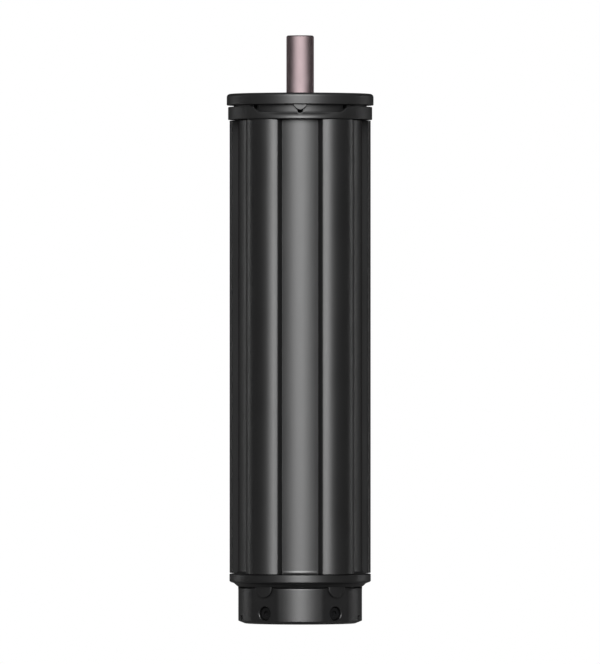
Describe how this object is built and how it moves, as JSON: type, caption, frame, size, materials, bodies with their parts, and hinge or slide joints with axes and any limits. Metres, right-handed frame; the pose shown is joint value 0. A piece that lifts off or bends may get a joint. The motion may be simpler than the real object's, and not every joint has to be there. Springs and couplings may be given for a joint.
{
  "type": "roller shutter motor",
  "caption": "Tubular gearmotor for a roller shutter: lobed black tube with a flanged output pin on top and a plug with socket and set button below.",
  "frame": {"origin": "centre of the flat foot face at the closed end", "axes": "+Z along the tube towards the output pin, -Y is the front with the middle of one groove, +X to the right seen from the front"},
  "size_m": [0.0534, 0.0534, 0.2137],
  "materials": {
    "black_anodised": "satin black anodised extrusion",
    "black_diecast": "fine satin black powder coat on die-cast zinc",
    "black_plastic": "satin black glass-filled nylon",
    "black_screw": "black oxide",
    "pin_steel": "fine turned, warm tint",
    "seal_rubber": "smooth black",
    "bronze_bush": "sintered bronze",
    "socket_plastic": "fine textured",
    "button_plastic": "grey",
    "led_lens": "clear light pipe",
    "circuit_board": "green solder mask",
    "component_black": "moulded epoxy",
    "capacitor_sleeve": "shrink sleeve",
    "soft_iron": "turned, phosphated",
    "copper": "enamelled copper wire",
    "spring_steel": "drawn wire",
    "friction_lining": "pressed friction material",
    "zinc_steel": "zinc plated sheet",
    "ferrite": "sintered ferrite",
    "natural_nylon": "natural nylon",
    "carbon": "pressed carbon",
    "shaft_steel": "ground",
    "lamination_steel": "stacked sheets",
    "gear_brass": "cut brass",
    "gear_steel": "sintered steel",
    "screw_steel": "zinc plated",
    "cast_plate": "die-cast"
  },
  "bodies": {
    "housing": {"profile_housing": "black_anodised", "crown_ring": "black_diecast", "front_flange": "black_diecast", "bush_lock_screw_front": "black_screw", "bush_lock_screw_back": "black_screw", "shaft_seal": "seal_rubber", "output_bush": "bronze_bush", "lower_collar": "black_plastic", "end_cap": "black_plastic", "connector_socket": "socket_plastic", "status_led": "led_lens", "control_board": "circuit_board", "button_switch": "component_black", "driver_chip": "component_black", "smoothing_capacitor": "capacitor_sleeve", "brake_coil_housing": "soft_iron", "brake_coil": "copper", "brake_spring": "spring_steel", "brush_holder": "natural_nylon", "brush_1": "carbon", "brush_2": "carbon", "motor_rear_bush": "bronze_bush", "motor_front_bush": "bronze_bush", "motor_can": "zinc_steel", "magnet_1": "ferrite", "magnet_2": "ferrite", "motor_plate": "cast_plate", "motor_plate_screw_1": "screw_steel", "motor_plate_screw_2": "screw_steel", "ring_gear": "natural_nylon", "hall_sensor": "component_black", "end_cap_screw_1": "black_screw", "end_cap_screw_2": "black_screw", "end_cap_screw_3": "black_screw", "end_cap_screw_4": "black_screw", "end_cap_screw_5": "black_screw"},
    "output": {"output_shaft": "pin_steel", "output_carrier": "gear_steel"},
    "carrier_2": {"carrier_2": "gear_steel"},
    "carrier_1": {"carrier_1": "gear_steel"},
    "rotor": {"rotor_shaft": "shaft_steel", "encoder_magnet": "ferrite", "sun_pinion": "gear_brass", "armature_core": "lamination_steel", "armature_winding": "copper", "commutator": "copper", "brake_disc": "friction_lining"},
    "brake_plate": {"brake_plate": "soft_iron"},
    "set_button": {"set_button": "button_plastic"},
    "planet_3a": {"planet_3a": "gear_steel"},
    "planet_3b": {"planet_3b": "gear_steel"},
    "planet_3c": {"planet_3c": "gear_steel"},
    "planet_2a": {"planet_2a": "gear_steel"},
    "planet_2b": {"planet_2b": "gear_steel"},
    "planet_2c": {"planet_2c": "gear_steel"},
    "planet_1a": {"planet_1a": "natural_nylon"},
    "planet_1b": {"planet_1b": "natural_nylon"},
    "planet_1c": {"planet_1c": "natural_nylon"}
  },
  "joints": [
    {"name": "output_spin", "type": "hinge", "parent": "housing", "child": "output", "pos_m": [0, 0, 0.19245], "axis": [0, 0, 1], "continuous": true},
    {"name": "carrier_2_spin", "type": "hinge", "parent": "housing", "child": "carrier_2", "pos_m": [0, 0, 0.1637], "axis": [0, 0, 1], "continuous": true},
    {"name": "carrier_1_spin", "type": "hinge", "parent": "housing", "child": "carrier_1", "pos_m": [0, 0, 0.1504], "axis": [0, 0, 1], "continuous": true},
    {"name": "rotor_spin", "type": "hinge", "parent": "housing", "child": "rotor", "pos_m": [0, 0, 0.113], "axis": [0, 0, 1], "continuous": true},
    {"name": "planet_3a_spin", "type": "hinge", "parent": "output", "child": "planet_3a", "pos_m": [0.012, 0, 0.1705], "axis": [0, 0, 1], "continuous": true},
    {"name": "planet_3b_spin", "type": "hinge", "parent": "output", "child": "planet_3b", "pos_m": [-0.006, 0.01039, 0.1705], "axis": [0, 0, 1], "continuous": true},
    {"name": "planet_3c_spin", "type": "hinge", "parent": "output", "child": "planet_3c", "pos_m": [-0.006, -0.01039, 0.1705], "axis": [0, 0, 1], "continuous": true},
    {"name": "planet_2a_spin", "type": "hinge", "parent": "carrier_2", "child": "planet_2a", "pos_m": [0.012, 0, 0.1569], "axis": [0, 0, 1], "continuous": true},
    {"name": "planet_2b_spin", "type": "hinge", "parent": "carrier_2", "child": "planet_2b", "pos_m": [-0.006, 0.01039, 0.1569], "axis": [0, 0, 1], "continuous": true},
    {"name": "planet_2c_spin", "type": "hinge", "parent": "carrier_2", "child": "planet_2c", "pos_m": [-0.006, -0.01039, 0.1569], "axis": [0, 0, 1], "continuous": true},
    {"name": "planet_1a_spin", "type": "hinge", "parent": "carrier_1", "child": "planet_1a", "pos_m": [0.012, 0, 0.1444], "axis": [0, 0, 1], "continuous": true},
    {"name": "planet_1b_spin", "type": "hinge", "parent": "carrier_1", "child": "planet_1b", "pos_m": [-0.006, 0.01039, 0.1444], "axis": [0, 0, 1], "continuous": true},
    {"name": "planet_1c_spin", "type": "hinge", "parent": "carrier_1", "child": "planet_1c", "pos_m": [-0.006, -0.01039, 0.1444], "axis": [0, 0, 1], "continuous": true},
    {"name": "brake_release", "type": "slide", "parent": "housing", "child": "brake_plate", "axis": [0, 0, -1], "range_m": [0, 0.00035], "deforming": ["brake_spring"]},
    {"name": "set_button_press", "type": "slide", "parent": "housing", "child": "set_button", "axis": [0, 0, 1], "range_m": [0, 0.001]}
  ],
  "couplings": [
    {"joint": "carrier_2_spin", "follows": "output_spin", "ratio": 4},
    {"joint": "carrier_1_spin", "follows": "output_spin", "ratio": 16},
    {"joint": "rotor_spin", "follows": "output_spin", "ratio": 64},
    {"joint": "planet_3a_spin", "follows": "output_spin", "ratio": -3},
    {"joint": "planet_3b_spin", "follows": "output_spin", "ratio": -3},
    {"joint": "planet_3c_spin", "follows": "output_spin", "ratio": -3},
    {"joint": "planet_2a_spin", "follows": "output_spin", "ratio": -12},
    {"joint": "planet_2b_spin", "follows": "output_spin", "ratio": -12},
    {"joint": "planet_2c_spin", "follows": "output_spin", "ratio": -12},
    {"joint": "planet_1a_spin", "follows": "output_spin", "ratio": -48},
    {"joint": "planet_1b_spin", "follows": "output_spin", "ratio": -48},
    {"joint": "planet_1c_spin", "follows": "output_spin", "ratio": -48}
  ]
}
